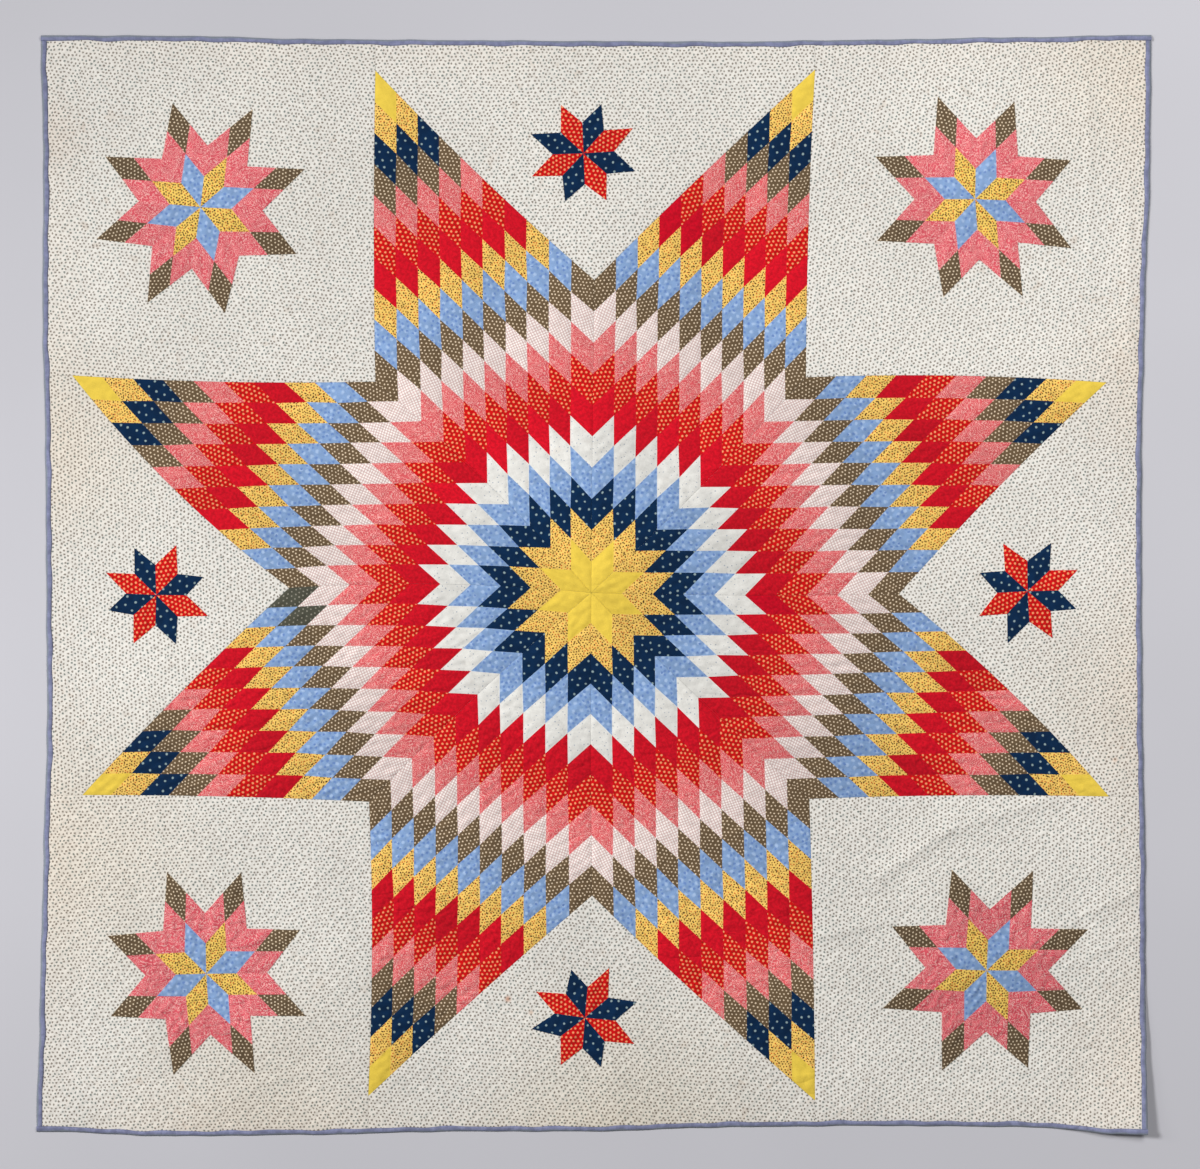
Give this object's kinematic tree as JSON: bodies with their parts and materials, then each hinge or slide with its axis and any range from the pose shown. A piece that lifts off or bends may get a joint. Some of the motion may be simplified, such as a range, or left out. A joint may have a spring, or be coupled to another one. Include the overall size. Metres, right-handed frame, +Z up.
{
  "type": "patchwork star quilt",
  "caption": "Pieced star quilt of small printed cotton diamonds on a cream sprigged ground, with applied stars and a blue bound edge, spread flat and face up.",
  "frame": {"origin": "centre of the outline, on the surface that the quilt lies on", "axes": "+Z up out of the face, +Y towards the top edge, +X towards the right edge as the picture shows it"},
  "size_m": [2.34, 2.312, 0.0289],
  "materials": {
    "pieced_patchwork": "matt woven cotton",
    "applied_patchwork": "matt woven cotton",
    "printed_ground": "matt woven cotton",
    "binding_cotton": "matt woven cotton"
  },
  "bodies": {
    "root": {"binding_bottom": "binding_cotton", "binding_left": "binding_cotton", "binding_right": "binding_cotton", "binding_top": "binding_cotton", "corner_square_bottom_left": "printed_ground", "corner_square_bottom_right": "printed_ground", "corner_square_top_left": "printed_ground", "corner_square_top_right": "printed_ground", "corner_star_bottom_left": "applied_patchwork", "corner_star_bottom_right": "applied_patchwork", "corner_star_top_left": "applied_patchwork", "corner_star_top_right": "applied_patchwork", "side_star_bottom": "applied_patchwork", "side_star_left": "applied_patchwork", "side_star_right": "applied_patchwork", "side_star_top": "applied_patchwork", "side_triangle_bottom": "printed_ground", "side_triangle_left": "printed_ground", "side_triangle_right": "printed_ground", "side_triangle_top": "printed_ground", "star_point_1": "pieced_patchwork", "star_point_2": "pieced_patchwork", "star_point_3": "pieced_patchwork", "star_point_4": "pieced_patchwork", "star_point_5": "pieced_patchwork", "star_point_6": "pieced_patchwork", "star_point_7": "pieced_patchwork", "star_point_8": "pieced_patchwork"}
  },
  "joints": []
}
